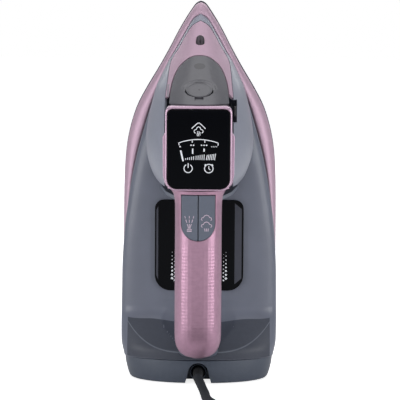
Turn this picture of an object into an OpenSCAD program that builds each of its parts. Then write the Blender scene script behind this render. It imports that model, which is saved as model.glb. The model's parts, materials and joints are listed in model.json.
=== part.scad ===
// Steam iron standing on its heel. Z runs from heel to tip, the handle faces -Y and the soleplate +Y.
// Heights called w are measured from the soleplate face towards the handle.

/* [Overall] */
// Length from heel to tip
length = 291; // [291:1:300]
// Width of the body at its widest
width = 120.6; // [120.6:0.2:126]
// Height from soleplate face to display glass
height = 145; // [145:0.5:147]

/* [Shells] */
// Wall of the moulded shells
wall = 2.2; // [1.8:0.1:2.4]
// Gap between neighbouring shells
seam = 0.4; // [0.3:0.05:0.5]

/* [Soleplate] */
// Thickness of the sole
sole_t = 5; // [4:0.5:5]
// Radius of a steam vent
vent_r = 1.5; // [1:0.1:2]
// Radius of the tubular heating element
element_r = 3.5; // [3:0.1:3.6]

/* [Handle] */
// Half width of the grip
grip_half = 17.2; // [16.5:0.1:17.6]
// Width of the display head
head_w = 48.6; // [48:0.1:49]
// Radius of a pump piston
piston_r = 3; // [2.5:0.1:3.2]

/* [Filler] */
// Radius of the filler cap
cap_r = 10; // [9.5:0.1:10]
// Slope of the front cover from the length axis, degrees
slope = 60.4; // [60:0.1:61]

/* [Cord] */
// Diameter of the mains cord
cord_d = 7; // [6.5:0.1:7]
// Mean radius of the stored coil
coil_r = 38; // [36:0.5:40]

/* [Hidden] */
$fn = 64;
pink = [0.77, 0.65, 0.72];
grey = [0.42, 0.44, 0.49];
leaf_grey = [0.55, 0.58, 0.63];
dark_grey = [0.31, 0.34, 0.39];
smoke = [0.43, 0.43, 0.45];
black = [0.04, 0.04, 0.05];
steel = [0.75, 0.76, 0.78];
cream = [0.87, 0.85, 0.78];
kx = width / 120.6;
kz = length / 291;
half_max = 60.3;

// Stations run from the tip to the heel as [z, value]
PLAN = [[291, 0], [290, 2.8], [286.5, 5.9], [277, 12.1], [268, 17.3], [254.5, 24.3], [240.5, 32.1], [222,
    43.1],
    [208, 50.2], [190, 55.7], [172, 58.6], [145, 60], [100, 60.3], [50, 60.3], [31, 59.6], [17, 57.5], [8,
        55],
    [3, 51]];
SKIRT_IN = [[281, 0], [277.5, 5.3], [266, 12.2], [252, 20], [245, 24.3], [231, 30.8], [225, 33.2], [210,
    38.8],
    [193, 44], [180, 47.6], [168, 50.4], [152, 53.2], [136, 55.2], [118, 57], [100, 58], [60, 58.4], [18,
        56.5]];
FRAME_OUT = [[281, 0], [277.5, 5.3], [266, 12.2], [252, 20], [245, 24.5], [231, 31.4], [225, 34], [208, 38.3],
    [193, 40.8], [181.5, 41], [171.5, 39.5], [160, 35], [155, 31]];
FRAME_IN = [[276, 0], [272.4, 5.9], [266.3, 10.3], [257, 15.4], [249.7, 19.9], [244.4, 22.4], [231, 24],
    [219.5, 25], [155, 25]];
ARCH = [[251, 0], [250.6, 3.6], [249.2, 7.6], [245, 13.2], [240.3, 16.8], [232.8, 20], [225, 21.6],
    [217.6, 22.4]];
FRAME_W = [[281, 24.4], [245, 25.6], [236, 30], [225, 38], [208, 46], [193, 51], [155, 52]];
TANK_HALF = [[246, 21], [240, 25], [232, 29.6], [225, 32.6], [210, 38.2], [193, 43.4], [180, 47], [168, 49.9],
    [152, 53], [136, 55.4], [118, 57.8], [100, 59.2], [80, 60], [31, 60], [18.4, 57.6]];
TANK_TOP = [[246, 25.2], [236, 28.2], [225, 35.6], [208, 44], [193, 48.5], [155, 49.6], [56, 50], [50, 52.5],
    [42, 61], [31, 71], [25, 75.6], [18.4, 76.4]];
GRIP_HALF = [[155.2, 1.2], [153, 1.1], [149, 1.03], [144, 1], [100, 1], [50, 1], [42, 0.97], [36, 0.84],
    [32, 0.6], [29.6, 0.22]];
GRIP_TOP = [[155.2, 20], [60, 20], [48, 19], [38, 15.5], [32, 10], [29.6, 4]];

function slope_at(t, i) = i == 0 ? (t[1][1] - t[0][1]) / (t[1][0] - t[0][0])
    : i == len(t) - 1 ? (t[i][1] - t[i - 1][1]) / (t[i][0] - t[i - 1][0])
    : (t[i + 1][1] - t[i - 1][1]) / (t[i + 1][0] - t[i - 1][0]);
function span_of(t, z, i = 0) = i >= len(t) - 2 || z >= t[i + 1][0] ? i : span_of(t, z, i + 1);
// Smooth value of a station table at z
function at(t, z) = let (i = span_of(t, z), h = t[i + 1][0] - t[i][0], u = min(1, max(0, (z - t[i][0]) / h)),
    m0 = slope_at(t, i) * h, m1 = slope_at(t, i + 1) * h, v0 = t[i][1], v1 = t[i + 1][1])
    (2 * pow(u, 3) - 3 * pow(u, 2) + 1) * v0 + (pow(u, 3) - 2 * pow(u, 2) + u) * m0
    + (3 * pow(u, 2) - 2 * pow(u, 3)) * v1 + (pow(u, 3) - pow(u, 2)) * m1;
function y_of(w) = height / 2 - w;
function signed_pow(v, p) = sign(v) * pow(abs(v), p);

// Planform outline in x and z, drawn in by an inset, from a heel line to a nose
function plan_side(inset, nose, heel, table, n) = [for (i = [0:n]) let (
    zr = length - (length - heel * length / nose) * pow(i / n, 1.5), z = zr * nose / length)
    [(table ? at(SKIRT_IN, z / kz) + inset : at(PLAN,
        zr / kz) * (1 - inset / half_max)) * kx * (i == 0 ? 0 : 1), z]];
function planform(inset, nose, heel, table = false, n = 22) = let (side = plan_side(inset, nose, heel,
    table, n))
    concat([for (i = [n:-1:0]) side[i]], [for (i = [1:n]) [-side[i][0], side[i][1]]]);
function lifted(outline, w) = [for (i = [len(outline) - 1:-1:0]) [outline[i][0], y_of(w), outline[i][1]]];
function rounded_rect(hx, z0, z1, r, r_low) = let (n = 6) concat(
    [for (i = [0:n]) [hx - r + r * cos(90 * i / n), z1 - r + r * sin(90 * i / n)]],
    [for (i = [0:n]) [-hx + r - r * sin(90 * i / n), z1 - r + r * cos(90 * i / n)]],
    [for (i = [0:n]) [-hx + r_low - r_low * cos(90 * i / n), z0 + r_low - r_low * sin(90 * i / n)]],
    [for (i = [0:n]) [hx - r_low + r_low * sin(90 * i / n), z0 + r_low - r_low * cos(90 * i / n)]]);

// Closed skins made of rings with the same number of points
function ring_mean(r) = [for (k = [0:2]) let (s = [for (p = r) p[k]]) s * [for (p = r) 1] / len(r)];
function ring_faces(m, n, wrap) = [for (i = [0:m - 2 + wrap]) for (j = [0:n - 1])
    let (a = i * n + j, b = i * n + (j + 1) % n, c = ((i + 1) % m) * n + (j + 1) % n,
        d = ((i + 1) % m) * n + j)
    each [[a, b, c], [a, c, d]]];
module ring_skin(rings) {
    m = len(rings);
    n = len(rings[0]);
    ends = [for (j = [0:n - 1]) each [[m * n, (j + 1) % n, j], [m * n + 1, (m - 1) * n + j,
        (m - 1) * n + (j + 1) % n]]];
    polyhedron(concat([for (r = rings) each r], [ring_mean(rings[0]), ring_mean(rings[m - 1])]),
        concat(ring_faces(m, n, 0), ends));
}
// The same for a thin wall, whose rings go along its outside and back along its inside
module wall_skin(rings) {
    m = len(rings);
    n = len(rings[0]);
    k = (m - 1) * n;
    ends = [for (j = [0:n / 2 - 2]) each [[j, n - 1 - j, n - 2 - j], [j, n - 2 - j, j + 1],
        [k + j, k + n - 2 - j, k + n - 1 - j], [k + j, k + j + 1, k + n - 2 - j]]];
    polyhedron([for (r = rings) each r], concat(ring_faces(m, n, 0), ends));
}
module ring_torus(rings) {
    polyhedron([for (r = rings) each r], ring_faces(len(rings), len(rings[0]), 1));
}
// A flat plate or block with its outline in x and z, between two heights
module slab(outline, w0, w1) {
    translate([0, y_of(w0), 0]) rotate([90, 0, 0]) linear_extrude(w1 - w0) polygon(outline);
}
module block(x0, x1, w0, w1, z0, z1) {
    translate([x0, y_of(w1), z0]) cube([x1 - x0, w1 - w0, z1 - z0]);
}
// A cylinder standing on the height axis
module post(x, z, w0, w1, r) {
    translate([x, y_of(w0), z]) rotate([90, 0, 0]) cylinder(h = w1 - w0, r = r);
}
// Section across the iron, a rounded box in x and w
function section(z, half, w0, w1, p_up, p_down, n) = [for (i = [0:n - 1])
    let (a = -360 * i / n, p = sin(a) > 0 ? p_up : p_down)
    [half * signed_pow(cos(a), p), y_of((w0 + w1) / 2 + (w1 - w0) / 2 * signed_pow(sin(a), p)), z]];

// Nose and shoulder surface: height at x and z
crest_z = 276;
crest_w = 32;
crest_top = 136;
function crest(z) = min(crest_top, max(24.4, crest_w + (crest_z - z) * tan(slope)));
function skin_w(x, z) = let (e = at(FRAME_W, z), f = min(1, abs(x) / max(0.5, at(FRAME_OUT, z))))
    e + (crest(z) - e) * pow(1 - pow(f, 2.2), 1 / 2.2);
// Point under the surface, moved towards the spine of the nose
function under(p, t) = let (spine = at(FRAME_W, p[2]) - 8, d = [-p[0], y_of(spine) - p[1],
    -14]) p + d * t / norm(d);
function skin_point(x, z) = [x, y_of(skin_w(x, z)), z];
// A strip of the surface between two edges, each a function of s from one rear end over the nose to the other
function strip_ring(a, b, n, t) = let (outer = [for (i = [0:n]) skin_point(a[0] + (b[0] - a[0]) * i / n,
    a[1] + (b[1] - a[1]) * i / n)]) concat(outer, [for (i = [n:-1:0]) under(outer[i], t)]);
function edge_point(table, s, z_low, trim) = let (top = table[0][0], z = top - (top - z_low) * pow(abs(s),
    1.5))
    [sign(s) * max(0, at(table, z) + trim), z + (trim < 0 ? trim * 1.6 : trim * 0.8) * pow(1 - abs(s), 2)];
module strip(outer, inner, low_out, low_in, trim_out, trim_in, across, along) {
    wall_skin([for (i = [-along:along]) let (s = i / along)
        strip_ring(edge_point(inner, s, low_in, trim_in), edge_point(outer, s, low_out, trim_out), across,
            wall)]);
}

// Heating base
module soleplate() {
    color(steel) difference() {
        slab(planform(0, length, 3), 0, sole_t);
        for (s = [0:9]) for (side = [-1, 1]) {
            post(side * (4 + 3.4 * s), 262 - 16 * s, -1, sole_t + 1, vent_r);
        }
        for (s = [1:6]) post(0, 272 - 14 * s, -1, sole_t + 1, vent_r);
    }
}
module steam_chamber() {
    color(steel) difference() {
        slab(planform(26, 186, 60), sole_t, 16);
        slab(planform(30, 178, 64), sole_t - 1, 17);
    }
}
module chamber_gasket() {
    color("dimgray") difference() {
        slab(planform(26, 186, 60), 16, 17);
        slab(planform(30, 178, 64), 15, 18);
    }
}
module chamber_lid() {
    color(steel) slab(planform(26, 186, 60), 17, 18.5);
}
element_half = 38.5;
element_w = sole_t + element_r + 0.1;
module heating_element() {
    color(steel) translate([0, y_of(element_w), 0]) {
        for (side = [-1, 1]) translate([side * element_half, 0, 30]) cylinder(h = 125, r = element_r);
        translate([0, 0, 155]) rotate([90, 0, 0]) rotate_extrude(angle = 180) translate([element_half, 0])
            circle(element_r);
    }
}
module element_terminals() {
    color(steel) for (side = [-1, 1]) translate([side * element_half, y_of(element_w),
        22.5]) cylinder(h = 7.5, r = 1.5);
}
module thermal_fuse() {
    color(cream) post(0, 90, 18.5, 23, 4);
}
module temperature_sensor() {
    color("tan") post(0, 130, 18.5, 23, 3);
}
module soleplate_screws() {
    color(steel) {
        for (side = [-1, 1]) post(side * 48, 60, sole_t, 22, 2);
        post(0, 258, sole_t, 22, 2);
    }
}
module skirt() {
    color(pink) ring_torus([
        lifted(planform(1.2, 288.6, 19), 5.4),
        lifted(planform(0.2, 289.6, 18.6), 9),
        lifted(planform(0, 289.4, 18.4), 13.5),
        lifted(planform(0.9, 287.6, 18.4), 18.5),
        lifted(planform(1.4, 284, 18.4, true), 22.6),
        lifted(planform(0, 281, 18.4, true), 24),
        lifted(planform(0, 279.4, 20.6, true), 22.2),
        lifted(planform(3.4, 283, 20.6), 17),
        lifted(planform(3.4, 284, 20.6), 5.4)]);
}

// Tank and what stands in it
function tank_power(z) = let (u = min(1, max(0, (62 - z) / 43.6))) 0.62 + 0.3 * u * u * (3 - 2 * u);
function tank_ring(z, inset) = section(z * kz, (at(TANK_HALF, z) - inset) * kx, 24.3 + inset,
    at(TANK_TOP, z) - inset, tank_power(z), 0.62, 40);
module water_tank() {
    levels = [246, 242, 236, 225, 208, 190, 172, 150, 120, 90, 62, 54, 48, 42, 36, 31, 25, 18.4];
    hollow = [228, 215, 200, 185, 165, 140, 110, 80, 58, 50, 44, 38, 32, 26, 21];
    color(grey, 0.7) difference() {
        ring_skin([for (z = levels) tank_ring(z, 0)]);
        ring_skin([for (z = hollow) tank_ring(z, wall)]);
        post(0, throat_z, 30, 60, 5.4);
    }
}
module drip_valve() {
    color(cream) post(0, 192, 24.7 + wall, 38, 6);
}
module valve_needle() {
    color(steel) post(0, 192, 38, 44, 1.5);
}

// Nose, shoulders and front cover
module shoulder_frame() {
    color(leaf_grey) difference() {
        strip(FRAME_OUT, FRAME_IN, 155, 155, 0, seam, 4, 26);
        block(24, 27.8, 98, 140, 203.5, 219.5);
    }
}
module nose_cover() {
    color(pink) difference() {
        strip(FRAME_IN, ARCH, 221, 224, 0, seam, 5, 20);
        at_nozzle() translate([0, 0, -20]) oval(40, 3.3);
    }
}
nozzle_z = 261;
nozzle_tilt = 40;
nozzle_at = [0, y_of(crest(nozzle_z)), nozzle_z];
module at_nozzle() {
    translate(nozzle_at) rotate([90 - nozzle_tilt, 0, 0]) children();
}
module oval(h, r) {
    for (y = [-2.1, 2.1]) translate([0, y, 0]) cylinder(h = h, r = r);
    translate([-r, -2.1, 0]) cube([2 * r, 4.2, h]);
}
module nozzle_body() {
    color(dark_grey) at_nozzle() translate([0, 0, -9]) oval(10.2, 2.95);
}
module nozzle_tip() {
    color(black) at_nozzle() difference() {
        translate([0, 0, 1.2]) oval(1.2, 2.3);
        translate([-0.5, -6, 1.7]) cube([1, 12, 3]);
    }
}
// Frame of the filler: z along the cover's normal, y towards the display
cap_z = 227.7;
module on_cover() {
    translate([0, y_of(crest(cap_z)), cap_z]) rotate([90 - slope, 0, 0]) children();
}
pin_out = 12.6;
pin_deep = 2.4;
pin_r = 0.9;
throat_z = 226.5;
module front_cover() {
    zs = [for (i = [0:10]) 250.6 - 33 * pow(i / 10, 1.3)];
    color(smoke, 0.8) difference() {
        wall_skin([for (z = zs) let (h = max(1.5, at(ARCH, z) - seam),
            outer = [for (i = [-8:8]) skin_point(h * i / 8, z)])
            concat(outer, [for (i = [16:-1:0]) under(outer[i], wall)])]);
        on_cover() {
            translate([0, 0, -12]) cylinder(h = 24, r = cap_r + 0.4);
            translate([-6.3, -pin_out - 2.8, -8]) cube([12.6, 6, 12]);
        }
    }
}
module filler_neck() {
    color(grey) difference() {
        union() {
            on_cover() translate([0, 0, -14]) cylinder(h = 10.6, r = cap_r - 0.4);
            post(0, throat_z, 39, 112, 6.8);
        }
        on_cover() translate([0, 0, -12.6]) cylinder(h = 60, r = cap_r - 1.8);
        post(0, throat_z, 38, 116, 5.2);
        on_cover() translate([-30, -30, -3.4]) cube([60, 60, 60]);
    }
}
module filler_cap() {
    color(smoke) on_cover() difference() {
        union() {
            translate([0, 0, -2.6]) cylinder(h = 2.2, r1 = cap_r - 0.6, r2 = cap_r);
            translate([0, 0, -5.6]) cylinder(h = 3, r = cap_r - 2.6);
            translate([-3, -pin_out, -3.2]) cube([6, 5, 1.6]);
            translate([-3, -pin_out, -pin_deep]) rotate([0, 90, 0]) cylinder(h = 6, r = 1.8);
        }
        translate([0, 0, -7]) cylinder(h = 4.4, r = cap_r - 4.2);
        translate([-4, -pin_out, -pin_deep]) rotate([0, 90, 0]) cylinder(h = 8, r = pin_r + 0.05);
    }
}
module cap_bracket() {
    color(dark_grey) on_cover() difference() {
        union() {
            for (x = [-5.8, 3.4]) translate([x, -pin_out, -pin_deep]) rotate([0, 90, 0]) cylinder(h = 2.4,
                r = 1.8);
            for (x = [-5.8, 3.4]) translate([x, -pin_out - 1.8, -6.4]) cube([2.4, 3.6, 4]);
            translate([-5.8, -pin_out - 1.8, -7.6]) cube([11.6, 3.6, 1.6]);
        }
        translate([-7, -pin_out, -pin_deep]) rotate([0, 90, 0]) cylinder(h = 14, r = pin_r);
    }
}
module cap_pin() {
    color(steel) on_cover() translate([-5.8, -pin_out, -pin_deep]) rotate([0, 90, 0]) cylinder(h = 11.6,
        r = pin_r);
}
lock_z = 243.2;
module cover_lock() {
    color(black) {
        post(0, lock_z, 26.8, 72, 2);
        post(0, lock_z, 71, 76.8, 4.2);
    }
}
module steam_lever() {
    color(black) block(25.2, 27.2, 102, 115.4, 208, 215);
}

// Display head and handle
head_half = head_w / 2;
head_low = 155.6;
head_top = 217;
module display_bezel() {
    color(pink) difference() {
        union() {
            slab(rounded_rect(head_half, head_low, head_top, 5, 8.5), 128, height - 0.6);
            slab([for (p = [[22, 155.8], [24.8, 160], [26.9, 167], [27.2, 194], [24, 199], [-24, 199],
                [-27.2, 194],
                [-26.9, 167], [-24.8, 160], [-22, 155.8]]) [p[0] * kx, p[1] * kz]], 129, 131);
        }
        slab(rounded_rect(head_half - 1.5, head_low + 1.5, head_top - 2.4, 4, 7.5), 127, height + 1);
    }
}
module display_glass() {
    color(black) slab(rounded_rect(head_half - 1.7, head_low + 1.7, head_top - 2.6, 3.8, 7.3), height - 3,
        height);
}
module display_board() {
    color("darkgreen") slab(rounded_rect(head_half - 3, head_low + 3, head_top - 4, 3, 6), height - 8,
        height - 6.4);
}
module display_tray() {
    color(dark_grey) difference() {
        slab(rounded_rect(head_half - 0.6, head_low, head_top - 0.4, 5, 8.5), 123, 128);
        slab(rounded_rect(head_half - 3, head_low + 2.4, head_top - 3, 4, 7), 125, 129);
        block(-6.6, 6.6, 122, 129, 209, 218);
    }
}
grip_mid = 122.5;
grip_drop = 19;
key_low = 119;
key_high = 152.4;
key_half = 12.3;
key_seat_w = 138;
key_w = 143.4;
function grip_ring(z, inset, upper) = let (half = (grip_half * at(GRIP_HALF, z) - inset),
    rise = upper ? at(GRIP_TOP, z) - inset : grip_drop * min(1, at(GRIP_TOP, z) / 20) - inset, n = 16)
    [for (i = [0:n]) let (a = 180 * i / n) [half * signed_pow(cos(a), 0.72),
        y_of(grip_mid + (upper ? 1 : -1) * rise * pow(sin(a), 0.72)), z]];
function grip_shell(z, upper, gap) = let (outer = grip_ring(z, 0, upper), inner = grip_ring(z, wall, upper),
    n = len(outer), shift = [0, upper ? -gap : gap, 0], loop = concat([for (p = outer) p + shift],
    [for (i = [n - 1:-1:0]) inner[i] + shift])) upper ? [for (i = [2 * n - 1:-1:0]) loop[i]] : loop;
grip_levels = [155.2, 153, 149, 144, 138, 128, 118, 105, 85, 65, 55, 48, 42, 37, 33.5, 31.4, 30.2, 29.6];
function key_outline(side, gap) = let (n = 8, h = key_half - gap, r = h - 0.4) concat(
    [[side * 0.4, key_high - gap], [side * 0.4, key_low + gap]],
    [for (i = [1:n]) [side * (0.4 + r * sin(90 * i / n)), key_low + gap + r * (1 - cos(90 * i / n))]],
    [[side * h, key_high - gap]]);
function pocket_outline() = let (n = 16) concat([[key_half + 0.3, key_high + 0.3], [-key_half - 0.3,
    key_high + 0.3]],
    [for (i = [0:n]) [-(key_half + 0.3) * cos(180 * i / n),
        key_low + key_half - (key_half + 0.3) * sin(180 * i / n)]]);
module handle_top() {
    color(pink) difference() {
        wall_skin([for (z = grip_levels) grip_shell(z, true, 0.1)]);
        slab(pocket_outline(), 132, height + 1);
    }
}
module rear_post() {
    levels = [[77, 20.5, 33, 15], [82, 21.5, 36, 14], [88, 23.5, 41, 13.5], [96, 27, 50, 13.5],
        [102, 31, 58, 13.5], [105, 33, 60, 13]];
    difference() {
        ring_skin([for (l = levels) [for (i = [0:19]) let (a = -360 * i / 20)
            [l[3] * signed_pow(cos(a), 0.7), y_of(l[0]),
            (l[1] + l[2]) / 2 + (l[2] - l[1]) / 2 * signed_pow(sin(a), 0.7)]]]);
        block(-11, 11, 79, 101, 26, 31);
    }
}
module front_post() {
    levels = [[52.8, 30], [64, 28.5], [80, 26.5], [96, 24.5], [112, 23], [122.4, 22]];
    ring_skin([for (l = levels) [for (p = [[-1, 148.4], [-1, 151], [1, 151], [1, 148.4]]) [l[1] * p[0],
        y_of(l[0]),
        p[1] - (l[0] - 52.8) * 0.02]]]);
}
module handle_base() {
    color(dark_grey) difference() {
        union() {
            wall_skin([for (z = grip_levels) grip_shell(z, false, 0.1)]);
            rear_post();
            front_post();
        }
        for (z = screw_zs) {
            post(0, z, 100, 105, 3);
            post(0, z, 104, 110, 1.6);
        }
        block(-12, 12, 107.5, 120, 146.6, 153);
        for (side = [-1, 1]) post(side * pump_x, pump_z, 107, 131, 5.1);
    }
}
screw_zs = [70, 112];
module handle_screws() {
    color(steel) for (z = screw_zs) {
        post(0, z, 103.8, 105, 2.8);
        post(0, z, 105, 126, 1.5);
    }
}
pump_x = 6.1;
pump_z = 140;
module key(side) {
    difference() {
        slab(key_outline(side, 0), key_seat_w, key_w);
        post(side * pump_x, pump_z, key_seat_w - 1, key_seat_w + 2.2, 5);
    }
}
module spray_key() {
    color(grey) key(-1);
}
module steam_key() {
    color(grey) key(1);
}
module piston(side) {
    post(side * pump_x, pump_z, 114, key_seat_w + 2.2, piston_r);
}
module spray_piston() {
    color(cream) piston(-1);
}
module steam_piston() {
    color(cream) piston(1);
}
module spring(side) {
    difference() {
        post(side * pump_x, pump_z, 130.1, key_seat_w + 2.1, 4.6);
        post(side * pump_x, pump_z, 129, key_seat_w + 3, 3.6);
    }
}
module spray_spring() {
    color(steel) spring(-1);
}
module steam_spring() {
    color(steel) spring(1);
}
module pump_barrels() {
    color(cream) difference() {
        for (side = [-1, 1]) post(side * pump_x, pump_z, 108, 130, 5);
        for (side = [-1, 1]) post(side * pump_x, pump_z, 110, 131, piston_r + 0.06);
    }
}

// Tubes swept along points
function tangent(p, i) = let (d = p[min(len(p) - 1, i + 1)] - p[max(0, i - 1)]) d / norm(d);
function tube_ring(p, i, r, n, up) = let (t = tangent(p, i), s = cross(up, t) / norm(cross(up, t)),
    v = cross(t, s))
    [for (j = [0:n - 1]) p[i] + r * (cos(360 * j / n) * v + sin(360 * j / n) * s)];
module tube(p, r, n, up = [0, 0, 1]) {
    ring_skin([for (i = [0:len(p) - 1]) tube_ring(p, i, r, n, up)]);
}
SPRAY_ROUTE = [[-pump_x, y_of(112), 145.2], [-7, y_of(113), 152], [-11, y_of(110), 165], [-14, y_of(104),
    185],
    [-15.5, y_of(94), 205], [-14.5, y_of(82), 222], [-13, y_of(64), 236], [-8, y_of(52), 246],
    [-3, y_of(48), 250.4], [0, y_of(50.7), 254.4]];
STEAM_ROUTE = [[pump_x, y_of(112), 145.2], [7, y_of(112), 152], [12, y_of(104), 160], [15, y_of(90), 166],
    [16, y_of(72), 169.5], [16, y_of(58), 170.5], [16, y_of(51), 171]];
module spray_hose() {
    color("white") tube(SPRAY_ROUTE, 1.5, 8, [1, 0, 0]);
}
module steam_hose() {
    color("white") tube(STEAM_ROUTE, 1.5, 8, [1, 0, 0]);
}
module deck_panel() {
    color(black) slab(rounded_rect(34.2, 68.4, 139, 7, 12), 50.3, 51.5);
}
module control_board() {
    color("darkgreen") slab(rounded_rect(12, 176, 206, 1, 1), 60, 61.6);
}
module tilt_sensor() {
    color(black) block(-4, 4, 108, 116, 82, 96);
}
module wiring_loom() {
    color("white") for (side = [-1, 1]) translate([side * 10.5, y_of(112), 56]) cylinder(h = 66, r = 1.6);
}

// Heel
gland_z = 8.4;
function heel_ring(z, side, inset) = section(z, (58 - side) * kx, 6 + inset, 78 - inset, 0.92, 0.6, 44);
module heel_cover() {
    color(dark_grey) difference() {
        ring_skin([heel_ring(18, 0.6, 0.6), heel_ring(12, 1.2, 0.3), heel_ring(6, 2.6, 0.4),
            heel_ring(2.4, 3.8, 0.9), heel_ring(0.5, 5.2, 1.8)]);
        ring_skin([heel_ring(19, 3, 3), heel_ring(12, 3.6, 2.8), heel_ring(4, 5.8, 4.2), heel_ring(2.8, 7,
            6)]);
        translate([0, y_of(64), gland_z]) rotate([90, 0, 0]) cylinder(h = 20, r = 7.9);
        translate([0, y_of(64), 0]) rotate([90, 0, 0]) linear_extrude(20)
            polygon([[-10.4, -1], [10.4, -1], [7.9, gland_z], [-7.9, gland_z]]);
        for (x = [-1, 1]) translate([x * 24, y_of(30), -1]) cylinder(h = 6, r = 3.3);
    }
}
module heel_pads() {
    color(black) for (side = [-1, 1]) block(side * 38 - 6, side * 38 + 6, 16, 54, 0, 0.5);
}
module heel_screws() {
    color(steel) for (x = [-24, 24]) translate([x, y_of(30), 1.6]) {
        cylinder(h = 2, r = 3);
        cylinder(h = 12, r = 1.5);
    }
}
module terminal_block() {
    color(cream) block(-42, -12, 36, 50, 5, 16);
}
module cord_clamp() {
    color(black) difference() {
        block(-9, 9, 40, 50, 5, 15);
        translate([0, y_of(39), gland_z]) rotate([90, 0, 0]) cylinder(h = 12, r = cord_d / 2);
    }
}
ball_w = 70;
module cord_gland() {
    color(steel) translate([0, y_of(ball_w), gland_z]) difference() {
        rotate([90, 0, 0]) translate([0, 0, -5]) cylinder(h = 7.5, r = 6.6);
        rotate([90, 0, 0]) translate([0, 0, -6]) cylinder(h = 12, r = 5.4);
        cylinder(h = 20, r = 1.25, center = true);
    }
}
module cord_ball() {
    color(black) translate([0, y_of(ball_w), gland_z]) difference() {
        union() {
            sphere(5);
            cylinder(h = 12.4, r = 1.2, center = true);
        }
        rotate([90, 0, 0]) cylinder(h = 12, r = 3.9);
    }
}
guard_end = y_of(94);
module cord_guard() {
    color([0.16, 0.16, 0.17]) translate([0, y_of(ball_w), gland_z]) rotate([90, 0, 0])
        cylinder(h = y_of(ball_w) - guard_end, r1 = 3.9, r2 = cord_d / 2 + 0.2);
}

// Mains cord, its coil and its plug
CORD_LEAD = [[0, guard_end - 0.2, gland_z], [0.1, -24, 8.4], [0.8, -28, 7.9], [1.9, -33, 6.8], [3, -38.5,
    5.4],
    [4.1, -44, 4.3], [5, -50, 3.7]];
CORD_ROUTE = [[5, -50, 3.7], [5.7, -58, 3.6], [6.4, -68, 3.6], [8.2, -80, 3.6], [12, -91, 3.6], [18, -102,
    3.6],
    [25.5, -113, 3.6], [33, -124, 3.8], [39.8, -136, 4.2], [44.8, -149, 4.6], [47.8, -162, 4.8], [48.7,
        -175, 4.8]];
coil_at = [0, -177, 1.2];
coil_in = coil_r - 2 * cord_d - 0.2;
coil_out = coil_r + 2 * cord_d + 0.2;
coil_h = 12.9;
CORD_END = [[14, -220, 10.6], [5, -222.6, 11.6], [-5, -224.2, 12], [-15, -225.8, 11], [-24, -228.8, 9],
    [-31, -234, 7.4], [-33.2, -240.6, 7.6], [-29.6, -246.8, 9.2], [-21, -249.8, 10.6], [-12, -250, 11]];
cord_colour = [0.2, 0.2, 0.21];
module cord_lead() {
    color(cord_colour) tube(CORD_LEAD, cord_d / 2, 12);
}
module cord() {
    color(cord_colour) tube(CORD_ROUTE, cord_d / 2, 12);
}
module cord_coil() {
    color(cord_colour) translate(coil_at) rotate_extrude() translate([coil_in,
        0]) square([coil_out - coil_in, coil_h]);
}
module coil_tie() {
    color(black) translate(coil_at) rotate([0, 0, 172]) rotate_extrude(angle = 14) translate([coil_in,
        0]) difference() {
        translate([-1, -1]) square([coil_out - coil_in + 2, coil_h + 2]);
        square([coil_out - coil_in, coil_h]);
    }
}
module cord_end() {
    color(cord_colour) tube(CORD_END, cord_d / 2, 12);
}
plug_y = -250;
plug_z = 11;
module plug_body() {
    color(black) translate([-12, plug_y, plug_z]) rotate([0, 90, 0]) {
        cylinder(h = 12, r1 = 5, r2 = 6.5);
        translate([0, 0, 12]) cylinder(h = 24, r = 10.8);
    }
}
module plug_pins() {
    color(steel) for (side = [-1, 1]) translate([24, plug_y + side * 6, plug_z]) rotate([0, 90, 0])
        cylinder(h = 19, r = 2.4);
}

soleplate();
steam_chamber();
chamber_gasket();
chamber_lid();
heating_element();
element_terminals();
thermal_fuse();
temperature_sensor();
soleplate_screws();
skirt();
water_tank();
drip_valve();
valve_needle();
filler_neck();
shoulder_frame();
nose_cover();
nozzle_body();
nozzle_tip();
front_cover();
filler_cap();
cap_bracket();
cap_pin();
cover_lock();
steam_lever();
display_bezel();
display_glass();
display_board();
display_tray();
handle_top();
handle_base();
spray_key();
steam_key();
spray_piston();
steam_piston();
spray_spring();
steam_spring();
pump_barrels();
spray_hose();
steam_hose();
deck_panel();
control_board();
tilt_sensor();
wiring_loom();
handle_screws();
heel_cover();
heel_pads();
heel_screws();
terminal_block();
cord_clamp();
cord_gland();
cord_ball();
cord_guard();
cord_lead();
cord();
cord_coil();
coil_tie();
cord_end();
plug_body();
plug_pins();
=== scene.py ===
"""Steam iron standing on its heel: the looks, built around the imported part."""

import json
import math

import bmesh
import bpy
from mathutils import Matrix, Vector


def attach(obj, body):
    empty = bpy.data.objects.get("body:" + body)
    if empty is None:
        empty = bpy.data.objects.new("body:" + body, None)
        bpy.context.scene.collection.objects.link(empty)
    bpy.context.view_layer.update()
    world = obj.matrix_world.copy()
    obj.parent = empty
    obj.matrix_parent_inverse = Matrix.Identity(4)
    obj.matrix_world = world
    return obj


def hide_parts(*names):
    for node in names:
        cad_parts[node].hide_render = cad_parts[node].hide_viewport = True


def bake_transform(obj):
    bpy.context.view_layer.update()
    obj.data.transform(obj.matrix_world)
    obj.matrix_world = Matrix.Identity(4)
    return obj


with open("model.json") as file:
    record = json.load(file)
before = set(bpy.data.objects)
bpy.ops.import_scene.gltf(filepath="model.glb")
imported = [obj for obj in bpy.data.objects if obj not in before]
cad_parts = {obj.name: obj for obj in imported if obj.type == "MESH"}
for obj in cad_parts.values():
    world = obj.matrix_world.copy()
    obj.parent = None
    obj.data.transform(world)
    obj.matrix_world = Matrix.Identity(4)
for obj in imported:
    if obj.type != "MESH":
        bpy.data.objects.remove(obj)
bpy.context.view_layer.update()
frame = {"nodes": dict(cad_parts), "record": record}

# Sizes are in millimetres. Heights called w run from the soleplate face to the handle.
MM = 0.001
LENGTH, HEIGHT = 291, 145
SEAM = 0.4

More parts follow.
